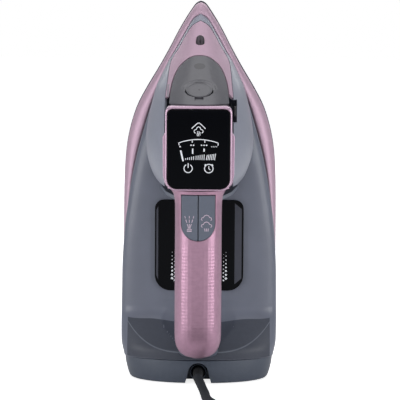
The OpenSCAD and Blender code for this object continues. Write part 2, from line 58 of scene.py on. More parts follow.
# Stations run from the tip to the heel as (z, value), as in the part's source
PLAN = [(291, 0), (290, 2.8), (286.5, 5.9), (277, 12.1), (268, 17.3), (254.5, 24.3), (240.5, 32.1),
        (222, 43.1), (208, 50.2), (190, 55.7), (172, 58.6), (145, 60), (100, 60.3), (50, 60.3), (31, 59.6),
        (17, 57.5), (8, 55), (3, 51)]
SKIRT_IN = [(281, 0), (277.5, 5.3), (266, 12.2), (252, 20), (245, 24.3), (231, 30.8), (225, 33.2),
            (210, 38.8), (193, 44), (180, 47.6), (168, 50.4), (152, 53.2), (136, 55.2), (118, 57), (100, 58),
            (60, 58.4), (18, 56.5)]
FRAME_OUT = [(281, 0), (277.5, 5.3), (266, 12.2), (252, 20), (245, 24.5), (231, 31.4), (225, 34), (208, 38.3),
             (193, 40.8), (181.5, 41), (171.5, 39.5), (160, 35), (155, 31)]
FRAME_IN = [(276, 0), (272.4, 5.9), (266.3, 10.3), (257, 15.4), (249.7, 19.9), (244.4, 22.4), (231, 24),
            (219.5, 25), (155, 25)]
ARCH = [(251, 0), (250.6, 3.6), (249.2, 7.6), (245, 13.2), (240.3, 16.8), (232.8, 20), (225, 21.6),
        (217.6, 22.4)]
FRAME_W = [(281, 24.4), (245, 25.6), (236, 30), (225, 38), (208, 46), (193, 51), (155, 52)]
TANK_HALF = [(246, 21), (240, 25), (232, 29.6), (225, 32.6), (210, 38.2), (193, 43.4), (180, 47), (168, 49.9),
             (152, 53), (136, 55.4), (118, 57.8), (100, 59.2), (80, 60), (31, 60), (18.4, 57.6)]
TANK_TOP = [(246, 25.2), (236, 28.2), (225, 35.6), (208, 44), (193, 48.5), (155, 49.6), (56, 50), (50, 52.5),
            (42, 61), (31, 71), (25, 75.6), (18.4, 76.4)]
GRIP_WIDTH = 17.2
GRIP_HALF = [(155.2, 1.2), (153, 1.1), (149, 1.03), (144, 1), (100, 1), (50, 1), (42, 0.97), (36, 0.84),
             (32, 0.6), (29.6, 0.22)]
GRIP_TOP = [(155.2, 20), (60, 20), (48, 19), (38, 15.5), (32, 10), (29.6, 4)]
GRIP_MID, GRIP_DROP = 122.5, 19


def at(table, z):
    """Smooth value of a station table at z."""
    i = 0
    while i < len(table) - 2 and z < table[i + 1][0]:
        i += 1
    last = len(table) - 1

    def slope(k):
        a, b = table[max(0, k - 1)], table[min(last, k + 1)]
        return (b[1] - a[1]) / (b[0] - a[0])

    (z0, v0), (z1, v1) = table[i], table[i + 1]
    h = z1 - z0
    u = min(1, max(0, (z - z0) / h))
    return ((2 * u**3 - 3 * u**2 + 1) * v0 + (u**3 - 2 * u**2 + u) * slope(i) * h
            + (3 * u**2 - 2 * u**3) * v1 + (u**3 - u**2) * slope(i + 1) * h)


def y_of(w):
    return HEIGHT / 2 - w


def signed_pow(v, p):
    return math.copysign(abs(v) ** p, v)


def smoothstep(a, b, v):
    u = min(1, max(0, (v - a) / (b - a)))
    return u * u * (3 - 2 * u)


def lerp(a, b, u):
    return a + (b - a) * u


# ---------------------------------------------------------------- camera, light and floor
def make_camera():
    data = bpy.data.cameras.new("camera")
    data.sensor_width, data.lens = 36, 179
    cam = bpy.data.objects.new("camera", data)
    bpy.context.scene.collection.objects.link(cam)
    pitch, yaw, roll = math.radians(6.42), math.radians(0.51), math.radians(0.33)
    turn = (Matrix.Rotation(yaw, 4, "Z") @ Matrix.Rotation(math.pi / 2 - pitch, 4, "X")
            @ Matrix.Rotation(roll, 4, "Z"))
    cam.matrix_world = Matrix.Translation((0.014, -1.5, 0.31)) @ turn
    bpy.context.scene.camera = cam


def area_light(name, place, aim, size, power):
    data = bpy.data.lights.new(name, "AREA")
    data.shape, data.size, data.size_y = "RECTANGLE", size[0], size[1]
    data.energy = power
    lamp = bpy.data.objects.new(name, data)
    bpy.context.scene.collection.objects.link(lamp)
    lamp.location = place
    lamp.rotation_euler = (Vector(aim) - Vector(place)).to_track_quat("-Z", "Y").to_euler()


def make_studio():
    bpy.context.scene.view_settings.view_transform = "Standard"
    world = bpy.data.worlds.new("studio")
    bpy.context.scene.world = world
    world.use_nodes = True
    tree = world.node_tree
    tree.nodes.clear()
    out = tree.nodes.new("ShaderNodeOutputWorld")
    mix = tree.nodes.new("ShaderNodeMixShader")
    rays = tree.nodes.new("ShaderNodeLightPath")
    ambient = tree.nodes.new("ShaderNodeBackground")
    paper = tree.nodes.new("ShaderNodeBackground")
    ambient.inputs["Color"].default_value = (0.93, 0.96, 1, 1)
    ambient.inputs["Strength"].default_value = 0.3
    paper.inputs["Color"].default_value = (1, 1, 1, 1)
    tree.links.new(rays.outputs["Is Camera Ray"], mix.inputs[0])
    tree.links.new(ambient.outputs[0], mix.inputs[1])
    tree.links.new(paper.outputs[0], mix.inputs[2])
    tree.links.new(mix.outputs[0], out.inputs["Surface"])
    area_light("side_left", (-1.3, -0.9, 0.3), (0, 0, 0.16), (0.9, 1.3), 14)
    area_light("side_right", (1.3, -0.9, 0.3), (0, 0, 0.16), (0.9, 1.3), 14)
    area_light("top", (0, 0.2, 1.6), (0, 0, 0.1), (1.6, 1.2), 7)
    area_light("front", (0, -2.4, 1.1), (0, 0, 0.15), (0.8, 0.6), 3)
    area_light("back", (0, 1.6, 0.9), (0, 0, 0.15), (1.4, 1.0), 8)


def make_floor():
    mesh = bpy.data.meshes.new("floor")
    s = 6
    mesh.from_pydata([(-s, -s, 0), (s, -s, 0), (s, s, 0), (-s, s, 0)], [], [(0, 1, 2, 3)])
    floor = bpy.data.objects.new("floor", mesh)
    bpy.context.scene.collection.objects.link(floor)
    floor.location.z = -0.0002
    look = bpy.data.materials.new("floor")
    look.use_nodes = True
    shader = look.node_tree.nodes["Principled BSDF"]
    shader.inputs["Base Color"].default_value = (0.9, 0.9, 0.9, 1)
    shader.inputs["Roughness"].default_value = 0.8
    shader.inputs["Emission Color"].default_value = (1, 1, 1, 1)
    rays = look.node_tree.nodes.new("ShaderNodeLightPath")
    glow = look.node_tree.nodes.new("ShaderNodeMapRange")
    glow.inputs["To Max"].default_value = 0.78
    look.node_tree.links.new(rays.outputs["Is Camera Ray"], glow.inputs["Value"])
    look.node_tree.links.new(glow.outputs["Result"], shader.inputs["Emission Strength"])
    mesh.materials.append(look)


make_camera()
make_studio()
make_floor()


# ---------------------------------------------------------------- materials
GRAIN_SCALE, GRAIN_DEPTH = 900, 0.0004


def linear(rgb):
    return tuple((c / 255 / 12.92 if c <= 10 else ((c / 255 + 0.055) / 1.055) ** 2.4) for c in rgb) + (1,)


def make_look(name, rgb, rough, metal=0.0, coat=0.0, mottle=0.03, scale=300, bump=0.0, shine=0.5):
    """A plastic or metal with a faint procedural mottle in its colour and, if bump isn't 0, a fine grain."""
    look = bpy.data.materials.new(name)
    look.use_nodes = True
    tree = look.node_tree
    shader = tree.nodes["Principled BSDF"]
    shader.inputs["Roughness"].default_value = rough
    shader.inputs["Metallic"].default_value = metal
    shader.inputs["Specular IOR Level"].default_value = shine
    shader.inputs["Coat Weight"].default_value = coat
    shader.inputs["Coat Roughness"].default_value = 0.08
    place = tree.nodes.new("ShaderNodeTexCoord")
    noise = tree.nodes.new("ShaderNodeTexNoise")
    noise.inputs["Scale"].default_value = scale
    ramp = tree.nodes.new("ShaderNodeValToRGB")
    base = linear(rgb)
    ramp.color_ramp.elements[0].position, ramp.color_ramp.elements[1].position = 0.35, 0.65
    ramp.color_ramp.elements[0].color = tuple(c * (1 - mottle) for c in base[:3]) + (1,)
    ramp.color_ramp.elements[1].color = tuple(min(1, c * (1 + mottle)) for c in base[:3]) + (1,)
    tree.links.new(place.outputs["Object"], noise.inputs["Vector"])
    tree.links.new(noise.outputs["Fac"], ramp.inputs["Fac"])
    tree.links.new(ramp.outputs["Color"], shader.inputs["Base Color"])
    if bump:
        grain = tree.nodes.new("ShaderNodeTexNoise")
        grain.inputs["Scale"].default_value = GRAIN_SCALE
        lift = tree.nodes.new("ShaderNodeBump")
        lift.inputs["Strength"].default_value = bump
        lift.inputs["Distance"].default_value = GRAIN_DEPTH
        tree.links.new(place.outputs["Object"], grain.inputs["Vector"])
        tree.links.new(grain.outputs["Fac"], lift.inputs["Height"])
        tree.links.new(lift.outputs["Normal"], shader.inputs["Normal"])
    return look


LOOKS = {
    "sole_coated": make_look("sole_coated", (88, 90, 98), 0.25, metal=0.6, coat=0.2, mottle=0.06),
    "cast_aluminium": make_look("cast_aluminium", (150, 152, 156), 0.5, metal=0.9, mottle=0.1, bump=0.4),
    "silicone": make_look("silicone", (176, 70, 58), 0.6),
    "element_steel": make_look("element_steel", (120, 116, 112), 0.35, metal=1),
    "plated_steel": make_look("plated_steel", (196, 198, 204), 0.22, metal=1),
    "cream_plastic": make_look("cream_plastic", (222, 216, 200), 0.45),
    "pink_metallic": make_look("pink_metallic", (200, 171, 189), 0.55, metal=0.5, mottle=0.02, shine=0.3),
    "pink_bright": make_look("pink_bright", (214, 180, 203), 0.24, metal=0.6, coat=0.5, mottle=0.02),
    "pink_grip": make_look("pink_grip", (192, 152, 174), 0.4, metal=0.8, mottle=0.04, shine=0.3),
    "tank_grey": make_look("tank_grey", (108, 112, 126), 0.38, coat=0.1, mottle=0.03, scale=60),
    "shoulder_grey": make_look("shoulder_grey", (148, 151, 165), 0.42, metal=0.25, coat=0.1, mottle=0.02),
    "heel_grey": make_look("heel_grey", (76, 83, 96), 0.38, coat=0.1, mottle=0.03),
    "key_grey": make_look("key_grey", (98, 104, 118), 0.4, mottle=0.02),
    "smoke_cover": make_look("smoke_cover", (92, 91, 97), 0.3, coat=0.2, mottle=0.04),
    "black_plastic": make_look("black_plastic", (22, 23, 27), 0.35, coat=0.2),
    "display_black": make_look("display_black", (3, 4, 8), 0.1, mottle=0.0, shine=0.1),
    "board_green": make_look("board_green", (34, 92, 58), 0.4),
    "rubber_black": make_look("rubber_black", (28, 28, 30), 0.7, bump=0.3),
    "cord_textile": make_look("cord_textile", (44, 46, 52), 0.75, mottle=0.2, scale=1500, bump=0.5),
    "plug_black": make_look("plug_black", (26, 26, 29), 0.5, bump=0.2),
    "brass_pins": make_look("brass_pins", (206, 196, 170), 0.25, metal=1),
}
ICON_WHITE = make_look("icon_white", (236, 238, 244), 0.5, mottle=0.0)
ICON_PINK = make_look("icon_pink", (208, 186, 202), 0.5, mottle=0.0)
DARK_SPOT = make_look("dark_spot", (62, 61, 66), 0.3, coat=0.3)
LOOKS["nozzle_grey"] = make_look("nozzle_grey", (66, 58, 66), 0.4)
STRIP_LOOK = make_look("level_strip", (150, 138, 150), 0.3, coat=0.3)
# Painted light on the tank's scoop: the first colour is painted shade over the scoop, the second a painted
# highlight along the scoop's rim.
BOWL_SHADE = make_look("bowl_shade", (66, 70, 82), 0.5)
RIM_HIGHLIGHT = make_look("rim_highlight_paint", (102, 107, 119), 0.4)
# Painted reflection: grey bands laid on the black deck window where its glass catches light.
PANEL_REFLECTION = make_look("panel_reflection_paint", (70, 71, 80), 0.3, shine=0.2)


# ---------------------------------------------------------------- mesh helpers
def new_object(name, points, faces, look):
    mesh = bpy.data.meshes.new(name)
    mesh.from_pydata([(x * MM, y * MM, z * MM) for x, y, z in points], [], faces)
    mesh.materials.append(look)
    obj = bpy.data.objects.new(name, mesh)
    bpy.context.scene.collection.objects.link(obj)
    return obj


def bake(obj):
    """Applies the modifiers."""
    bpy.context.view_layer.update()
    seen = obj.evaluated_get(bpy.context.evaluated_depsgraph_get())
    mesh = bpy.data.meshes.new_from_object(seen)
    obj.modifiers.clear()
    old, obj.data = obj.data, mesh
    bpy.data.meshes.remove(old)
    return obj


def face_outwards(obj, toward=None):
    """Makes a closed mesh's normals point out, or an open one's point on average toward a direction."""
    bm = bmesh.new()
    bm.from_mesh(obj.data)
    bmesh.ops.recalc_face_normals(bm, faces=bm.faces)
    if toward:
        mean = sum((f.normal * f.calc_area() for f in bm.faces), Vector())
        if mean.dot(Vector(toward)) < 0:
            bmesh.ops.reverse_faces(bm, faces=bm.faces)
    bm.to_mesh(obj.data)
    bm.free()
    return obj


def rows_mesh(name, rows, look, around=False, caps=False, toward=None):
    """A surface through rows of points. around joins each row's ends, and caps closes both end rows."""
    m, n = len(rows), len(rows[0])
    step = n if around else n - 1
    faces = [(i * n + j, i * n + (j + 1) % n, (i + 1) * n + (j + 1) % n, (i + 1) * n + j)
             for i in range(m - 1) for j in range(step)]
    if caps:
        faces += [tuple(range(n)), tuple(range((m - 1) * n, m * n))]
    obj = new_object(name, [p for r in rows for p in r], faces, look)
    return face_outwards(obj, toward)


def thicken(obj, wall):
    wall_mod = obj.modifiers.new("wall", "SOLIDIFY")
    wall_mod.thickness, wall_mod.offset = wall * MM, -1
    return bake(obj)


def cut(obj, *tools):
    for tool in tools:
        m = obj.modifiers.new("cut", "BOOLEAN")
        m.object, m.operation, m.solver = tool, "DIFFERENCE", "EXACT"
        bake(obj)
        bpy.data.objects.remove(tool)
    return obj


def soften(obj, width, segments=2, angle=38):
    """Rounds the sharp edges and shades the mesh smooth."""
    m = obj.modifiers.new("round", "BEVEL")
    m.width, m.segments, m.limit_method, m.angle_limit = width * MM, segments, "ANGLE", math.radians(angle)
    bake(obj)
    smooth(obj)
    obj.modifiers.new("normals", "WEIGHTED_NORMAL").keep_sharp = True
    return bake(obj)


def smooth(obj):
    obj.data.polygons.foreach_set("use_smooth", [True] * len(obj.data.polygons))
    return obj


def place(obj, body, slot, *nodes):
    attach(obj, body)
    if nodes:
        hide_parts(*nodes)
    return obj


def prism(name, outline, w0, w1, look=None):
    """A plate with its outline in x and z, between two heights."""
    rows = [[(x, y_of(w), z) for x, z in outline] for w in (w0, w1)]
    return rows_mesh(name, rows, look or LOOKS["black_plastic"], around=True, caps=True)


def rod(name, start, end, r, look=None, n=48):
    """A cylinder between two points."""
    a, b = Vector(start), Vector(end)
    t = (b - a).normalized()
    side = t.orthogonal().normalized()
    up = t.cross(side)
    rows = []
    for p in (a, b):
        turn = [2 * math.pi * j / n for j in range(n)]
        rows.append([tuple(p + r * (math.cos(q) * side + math.sin(q) * up)) for q in turn])
    return rows_mesh(name, rows, look or LOOKS["black_plastic"], around=True, caps=True)


def lathe(name, start, axis, profile, look, n=64):
    """A turned part: profile lists (distance along the axis, radius)."""
    a, t = Vector(start), Vector(axis).normalized()
    side = t.orthogonal().normalized()
    up = t.cross(side)
    rows = [[tuple(a + t * d + max(r, 0.001) * (math.cos(2 * math.pi * j / n) * side
                                               + math.sin(2 * math.pi * j / n) * up))
             for j in range(n)] for d, r in profile]
    return rows_mesh(name, rows, look, around=True, caps=True)


def merge(name, objects):
    """Several meshes as one piece."""
    bm = bmesh.new()
    for o in objects:
        bm.from_mesh(o.data)
    mesh = bpy.data.meshes.new(name)
    bm.to_mesh(mesh)
    bm.free()
    for m in objects[0].data.materials:
        mesh.materials.append(m)
    obj = bpy.data.objects.new(name, mesh)
    bpy.context.scene.collection.objects.link(obj)
    for o in objects:
        bpy.data.objects.remove(o)
    return obj


def rounded_rect(hx, z0, z1, r, r_low, n=10):
    turn = [math.pi / 2 * i / n for i in range(n + 1)]
    return ([(hx - r + r * math.cos(a), z1 - r + r * math.sin(a)) for a in turn]
            + [(-hx + r - r * math.sin(a), z1 - r + r * math.cos(a)) for a in turn]
            + [(-hx + r_low - r_low * math.cos(a), z0 + r_low - r_low * math.sin(a)) for a in turn]
            + [(hx - r_low + r_low * math.sin(a), z0 + r_low - r_low * math.cos(a)) for a in turn])


# ---------------------------------------------------------------- the cord, before the shapes
CORD_R = 3.5
GLAND_Z = 8.4
BALL_W = 70
GUARD_END = y_of(94)
CORD_LEAD = [(0, GUARD_END - 0.2, 8.4), (0.1, -24, 8.4), (0.8, -28, 7.9), (1.9, -33, 6.8), (3, -38.5, 5.4),
             (4.1, -44, 4.3), (5, -50, 3.7)]
CORD_ROUTE = [(5.7, -58, 3.6), (6.4, -68, 3.6), (8.2, -80, 3.6), (12, -91, 3.6), (18, -102, 3.6),
              (25.5, -113, 3.6), (33, -124, 3.8), (39.8, -136, 4.2), (44.8, -149, 4.6), (47.8, -162, 4.8)]
CORD_END = [(14, -220, 10.6), (5, -222.6, 11.6), (-5, -224.2, 12), (-15, -225.8, 11), (-24, -228.8, 9),
            (-31, -234, 7.4), (-33.2, -240.6, 7.6), (-29.6, -246.8, 9.2), (-21, -249.8, 10.6), (-12, -250, 11)]
COIL_AT = (0, -177)
PLUG_Y = -250
COIL_LOW, COIL_TOP = 4.8, 10.7
COIL_FLOOR = [48.7, 41.6, 34.5, 27.4]
COIL_UPPER = [30.95, 38.05, 45.15]


def coil_points():
    """The stored coil: four turns inwards on the floor, then three outwards in the gaps above them."""
    radii = COIL_FLOOR + COIL_UPPER
    # Radius and height at the start of each turn; a turn moves over in its last part
    steps, turns, points = 72, 6.17, []
    for i in range(int(turns * steps) + 1):
        turn = i / steps
        k = min(int(turn), len(radii) - 1)
        k_next = min(k + 1, len(radii) - 1)
        u = smoothstep(0.72, 1, turn - k)
        r = lerp(radii[k], radii[k_next], u)
        z = lerp(COIL_LOW if k < 4 else COIL_TOP, COIL_LOW if k_next < 4 else COIL_TOP, u)
        a = -2 * math.pi * turn
        points.append((COIL_AT[0] + r * math.cos(a), COIL_AT[1] + r * math.sin(a), z))
    return points


def spline(points, step=3.0):
    """Points at an even step along a smooth curve through the given ones."""
    fine = []
    p = [Vector(q) for q in points]
    for i in range(len(p) - 1):
        a, b, c, d = p[max(0, i - 1)], p[i], p[i + 1], p[min(len(p) - 1, i + 2)]
        for k in range(12):
            u = k / 12
            fine.append(0.5 * (2 * b + (c - a) * u + (2 * a - 5 * b + 4 * c - d) * u * u
                               + (3 * b - a - 3 * c + d) * u**3))
    fine.append(p[-1])
    out, gone = [fine[0]], 0.0
    for a, b in zip(fine, fine[1:]):
        gone += (b - a).length
        if gone >= step:
            out.append(b)
            gone = 0.0
    if (out[-1] - fine[-1]).length > 0.4 * step:
        out.append(fine[-1])
    else:
        out[-1] = fine[-1]
    return out


def make_cord():
    """A braided tube along the whole route, its strands as low ridges."""
    path = spline(CORD_LEAD + CORD_ROUTE + coil_points() + CORD_END, step=2.2)
    n, rows, up, gone = 28, [], Vector((0, 0, 1)), 0.0
    for i, p in enumerate(path):
        t = (path[min(i + 1, len(path) - 1)] - path[max(i - 1, 0)]).normalized()
        side = up.cross(t).normalized()
        over = t.cross(side)
        gone += (p - path[max(i - 1, 0)]).length
        ring = []
        for j in range(n):
            q = 2 * math.pi * j / n
            braid = math.sin(7 * q + gone * 1.4) * math.sin(7 * q - gone * 1.4)
            r = CORD_R - 0.12 + 0.12 * braid
            ring.append(tuple(p + r * (math.cos(q) * side + math.sin(q) * over)))
        rows.append(ring)
    obj = smooth(rows_mesh("mains_cord", rows, LOOKS["cord_textile"], around=True, caps=True))
    length = sum((b - a).length for a, b in zip(path, path[1:])) * MM
    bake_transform(obj)
    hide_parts("cord_lead", "cord", "cord_coil", "cord_end")
    return obj, length, [tuple(q * MM for q in p) for p in path]


def make_plug():
    """Round plug with a ribbed relief and two pins."""
    profile = [(0, 4.2), (0.6, 4.9), (3, 5.2), (3.4, 4.6), (4.4, 4.6), (4.8, 5.5), (7, 5.8), (7.4, 5),
               (8.4, 5), (8.8, 6.1), (11.4, 6.4), (13, 8.4), (15, 10), (17, 10.7), (33.6, 10.7), (35.2, 10.3),
               (36, 9.4)]
    plug = smooth(lathe("plug", (-12, PLUG_Y, 11), (1, 0, 0), profile, LOOKS["plug_black"]))
    place(plug, "body", "plug_black", "plug_body")
    pins = []
    for side in (-1, 1):
        shape = [(0, 2.2), (9, 2.2), (9.01, 2.38), (17.2, 2.38), (18.4, 1.9), (19, 1)]
        pin = lathe("pin", (24, PLUG_Y + side * 6, 11), (1, 0, 0), shape, LOOKS["brass_pins"], n=24)
        pins.append(smooth(pin))
    pins = place(merge("plug_contacts", pins), "body", "brass_pins", "plug_pins")
    return plug, pins


cord, cord_length, cord_path = make_cord()
plug, contacts = make_plug()


# ---------------------------------------------------------------- base and body
def plan_side(inset, nose, heel, table, n):
    side = []
    for i in range(n + 1):
        zr = LENGTH - (LENGTH - heel * LENGTH / nose) * (i / n) ** 1.5
        z = zr * nose / LENGTH
        x = at(SKIRT_IN, z) + inset if table else at(PLAN, zr) * (1 - inset / 60.3)
        side.append((0 if i == 0 else x, z))
    return side


def planform(inset, nose, heel, table=False, n=64):
    side = plan_side(inset, nose, heel, table, n)
    return side[::-1] + [(-x, z) for x, z in side[1:]]


def make_soleplate():
    sole = prism("soleplate_visual", planform(0, 291, 3), 0, 5, LOOKS["sole_coated"])
    vents = [(side * (4 + 3.4 * s), 262 - 16 * s) for s in range(10) for side in (-1, 1)]
    vents += [(0, 272 - 14 * s) for s in range(1, 7)]
    tools = [rod("vent", (x, y_of(-1), z), (x, y_of(3.4), z), 1.5, n=16) for x, z in vents]
    cut(sole, merge("vents", tools))
    place(soften(sole, 0.8, 2), "body", "sole_coated", "soleplate")


def make_skirt():
    """The pink band round the base, rolled over from the outline to the inner edge."""
    outer, inner = planform(0.35, 289.8, 18.4), planform(0, 281, 18.4, table=True)

    def between(out, rise, low, high):
        return [(lerp(b[0], a[0], out), y_of(lerp(low, high, rise)), lerp(b[1], a[1], out))
                for a, b in zip(outer, inner)]

    rows = [[(x, y_of(w), z) for x, z in planform(inset, nose, 18.6)]
            for inset, nose, w in ((1.4, 289, 5.6), (0.6, 289.6, 7.4))]
    for i in range(13):
        a = math.pi / 2 * i / 12
        rows.append(between(math.cos(a) ** 0.85, math.sin(a) ** 0.85, 10.5, 24))
    rows.append([(x, y_of(22.6), z) for x, z in planform(-0.3, 280.2, 20, table=True)])
    rows.append([(x, y_of(17), z) for x, z in planform(3.4, 283, 20.6)])
    rows.append([(x, y_of(5.8), z) for x, z in planform(3.4, 284, 20.6)])
    rows.append(rows[0])
    skirt = rows_mesh("skirt_band", rows, LOOKS["pink_metallic"], around=True)
    place(smooth(face_outwards(skirt)), "body", "pink_metallic", "skirt")


def crest(z):
    return min(136, max(24.4, 32 + (276 - z) * math.tan(math.radians(60.4))))


def skin_w(x, z):
    edge = at(FRAME_W, z)
    f = min(1, abs(x) / max(0.5, at(FRAME_OUT, z)))
    return edge + (crest(z) - edge) * (1 - f**2.2) ** (1 / 2.2)


def edge_point(table, s, z_low, trim):
    top = table[0][0]
    z = top - (top - z_low) * abs(s) ** 1.5
    return (math.copysign(max(0, at(table, z) + trim), s),
            z + (trim * 1.6 if trim < 0 else trim * 0.8) * (1 - abs(s)) ** 2)


def strip(name, outer, inner, low_out, low_in, trim_out, trim_in, look, across=12, along=72):
    rows = []
    for i in range(-along, along + 1):
        s = i / along
        a, b = edge_point(inner, s, low_in, trim_in), edge_point(outer, s, low_out, trim_out)
        row = []
        for k in range(across + 1):
            x, z = lerp(a[0], b[0], k / across), lerp(a[1], b[1], k / across)
            row.append((x, y_of(skin_w(x, z)), z))
        rows.append(row)
    return thicken(rows_mesh(name, rows, look, toward=(0, -1, 0.2)), 1.8)


NOZZLE_Z, NOZZLE_TILT = 261, math.radians(50)
NOZZLE_AXIS = Vector((0, -math.sin(NOZZLE_TILT), math.cos(NOZZLE_TILT)))
NOZZLE_AT = Vector((0, y_of(crest(NOZZLE_Z)), NOZZLE_Z))
NOZZLE_UP = Vector((0, math.cos(NOZZLE_TILT), math.sin(NOZZLE_TILT)))


def oval(name, levels, look, half=2.1, n=48):
    """An upright oval lofted along the nozzle's axis through distance and radius."""
    rows = []
    for d, r in levels:
        turn = [2 * math.pi * (k + 0.5) / n for k in range(n)]
        rows.append([tuple(NOZZLE_AT + NOZZLE_AXIS * d + Vector((r * math.cos(a), 0, 0))
                           + NOZZLE_UP * (r * math.sin(a) + math.copysign(half, math.sin(a)))) for a in turn])
    return face_outwards(rows_mesh(name, rows, LOOKS[look], around=True, caps=True))


def make_shoulders():
    shoulder = strip("shoulder", FRAME_OUT, FRAME_IN, 155, 155, 0, SEAM, LOOKS["shoulder_grey"])
    cut(shoulder, box_tool(24, 27.8, 98, 140, 203.5, 219.5))
    place(soften(shoulder, 0.5), "body", "shoulder_grey", "shoulder_frame")


def make_nose():
    nose = strip("nose", FRAME_IN, ARCH, 221, 224, 0, SEAM, LOOKS["pink_metallic"], across=16)
    cut(nose, oval("hole", [(-20, 3.25), (20, 3.25)], "pink_metallic"))
    place(soften(nose, 0.45), "body", "pink_metallic", "nose_cover")
    rows = [[(x, y_of(skin_w(x, z) + 0.1), z) for z in [lerp(230, 221.6, k / 10) for k in range(11)]]
            for x in (-24, -23.2, -22.4)]
    place(smooth(rows_mesh("level_strip", rows, STRIP_LOOK, toward=(0, -1, 0))), "body", "pink_metallic")
    collar = oval("nozzle_collar", [(-9, 2.95), (0.7, 2.95), (1.05, 2.8), (1.2, 2.5)], "black_plastic")
    place(smooth(collar), "body", "black_plastic", "nozzle_body")
    tip = oval("nozzle_lobes", [(1.2, 2.3), (1.9, 2.25), (2.25, 2), (2.4, 1.6)], "nozzle_grey")
    slit = [[tuple(NOZZLE_AT + NOZZLE_AXIS * d + Vector((x, 0, 0)) + NOZZLE_UP * y) for x, y in
             ((-0.5, -6), (0.5, -6), (0.5, 6), (-0.5, 6))] for d in (1.7, 4)]
    cut(tip, face_outwards(rows_mesh("slit", slit, LOOKS["nozzle_grey"], around=True, caps=True)))
    place(smooth(tip), "body", "rubber_black", "nozzle_tip")


def box_tool(x0, x1, w0, w1, z0, z1):
    return prism("tool", [(x0, z0), (x1, z0), (x1, z1), (x0, z1)], w0, w1)


# Frame of the filler on the cover: across, down the slope and out along the normal
CAP_Z, CAP_R = 227.7, 10
SLOPE = math.radians(60.4)
# Drop in z for each millimetre down the cover's face
COVER_RISE = 0.494
CAP_AT = Vector((0, y_of(crest(CAP_Z)), CAP_Z))
CAP_OUT = Vector((0, -math.cos(SLOPE), math.sin(SLOPE)))
CAP_DOWN = Vector((0, math.sin(SLOPE), math.cos(SLOPE)))


def cover_point(x, z, sink):
    """Point of the cover's face, moved in along its normal."""
    return (x, y_of(skin_w(x, z)) - CAP_OUT.y * sink, z - CAP_OUT.z * sink)


def make_cover():
    rows = []
    for i in range(111):
        z = 250.6 - 33 * (i / 110) ** 1.15
        half = max(1.5, at(ARCH, z) - SEAM)
        row = []
        for k in range(-44, 45):
            x = half * k / 44
            down = (z - CAP_Z) / COVER_RISE
            ring = math.hypot(x, down)
            above = smoothstep(-4, 4, down)
            sink = 0.5 * above * math.exp(-(((ring - 12.4) / 0.5) ** 2))
            sink += 0.35 * (1 - smoothstep(10.2, 11.6, ring))
            row.append(cover_point(x, z, sink))
        rows.append(row)
    cover = thicken(rows_mesh("window_cover", rows, LOOKS["smoke_cover"], toward=(0, -1, 1)), 2)
    cut(cover, rod("hole", CAP_AT - CAP_OUT * 14, CAP_AT + CAP_OUT * 14, CAP_R + 0.35, n=96))
    slot = box_from(CAP_AT - CAP_DOWN * 14.4 - CAP_OUT * 6, 3.2, 5.2, 12)
    cut(cover, face_outwards(slot))
    place(soften(cover, 0.3), "body", "smoke_cover", "front_cover")
    disc("window_spot", 243.4, 4.3, -0.03, DARK_SPOT, "body", "black_plastic", "cover_lock")


def disc(name, z0, radius, sink, look, body, slot, *nodes, thick=1.0):
    """A round plate that follows the cover's face."""
    rows = []
    for i in range(13):
        r = max(0.02, radius * i / 12)
        rows.append([cover_point(r * math.cos(a), z0 + COVER_RISE * r * math.sin(a), sink)
                     for a in (2 * math.pi * j / 64 for j in range(64))])
    plate = thicken(rows_mesh(name, rows, look, around=True, toward=(0, -1, 1)), thick)
    return place(soften(plate, 0.2), body, slot, *nodes)


def make_cap():
    disc("filler_lid", CAP_Z, CAP_R - 0.25, 0.35, LOOKS["smoke_cover"], "filler_cap", "smoke_cover",
         "filler_cap", thick=2.4)
    rows = []
    for r, lift in ((8.3, 0.3), (8.5, 0.16), (8.9, 0.1), (9.1, 0.16), (9.3, 0.3)):
        rows.append([cover_point(r * math.cos(a), CAP_Z + COVER_RISE * r * math.sin(a), lift)
                     for a in (2 * math.pi * j / 64 for j in range(64))])
    ring = rows_mesh("filler_ring", rows, LOOKS["smoke_cover"], around=True, toward=(0, -1, 1))
    place(smooth(ring), "filler_cap", "smoke_cover")
    plug = rod("filler_plug", CAP_AT - CAP_OUT * 5.4, CAP_AT - CAP_OUT * 2.6, CAP_R - 2.7,
               look=LOOKS["rubber_black"])
    place(smooth(plug), "filler_cap", "rubber_black")
    dot = rod("filler_vent", CAP_AT - CAP_OUT * 0.9, CAP_AT - CAP_OUT * 0.3, 0.8, look=DARK_SPOT, n=20)
    place(dot, "filler_cap", "smoke_cover")
    knuckle_at = CAP_AT - CAP_DOWN * 12.6 - CAP_OUT * 2.4
    knuckle = rod("filler_knuckle", knuckle_at - Vector((2.9, 0, 0)), knuckle_at + Vector((2.9, 0, 0)), 1.7,
                  look=LOOKS["smoke_cover"])
    place(soften(knuckle, 0.2), "filler_cap", "smoke_cover")
    tab = box_from(CAP_AT - CAP_DOWN * 12.4 - CAP_OUT * 2.9, 2.9, 4.8, 1.2)
    place(soften(tab, 0.2), "filler_cap", "smoke_cover")


def box_from(corner, half, length, tall):
    """A box lying along the cover, from the middle of its lower upper-end edge."""
    rows = []
    for d in (0, length):
        base = corner + CAP_DOWN * d
        rows.append([tuple(base + Vector((a, 0, 0)) + CAP_OUT * b)
                     for a, b in ((-half, 0), (half, 0), (half, tall), (-half, tall))])
    return rows_mesh("filler_tab", rows, LOOKS["smoke_cover"], around=True, caps=True)


def section(z, half, w0, w1, p_up, p_down, n):
    """Rounded box across the iron, with its own corner power above and below its middle."""
    ring = []
    for i in range(n):
        a = -2 * math.pi * i / n
        p = p_up if math.sin(a) > 0 else p_down
        ring.append((half * signed_pow(math.cos(a), p),
                     y_of((w0 + w1) / 2 + (w1 - w0) / 2 * signed_pow(math.sin(a), p)), z))
    return ring


def tank_power(z):
    return 0.62 + 0.3 * smoothstep(62, 18.4, z)


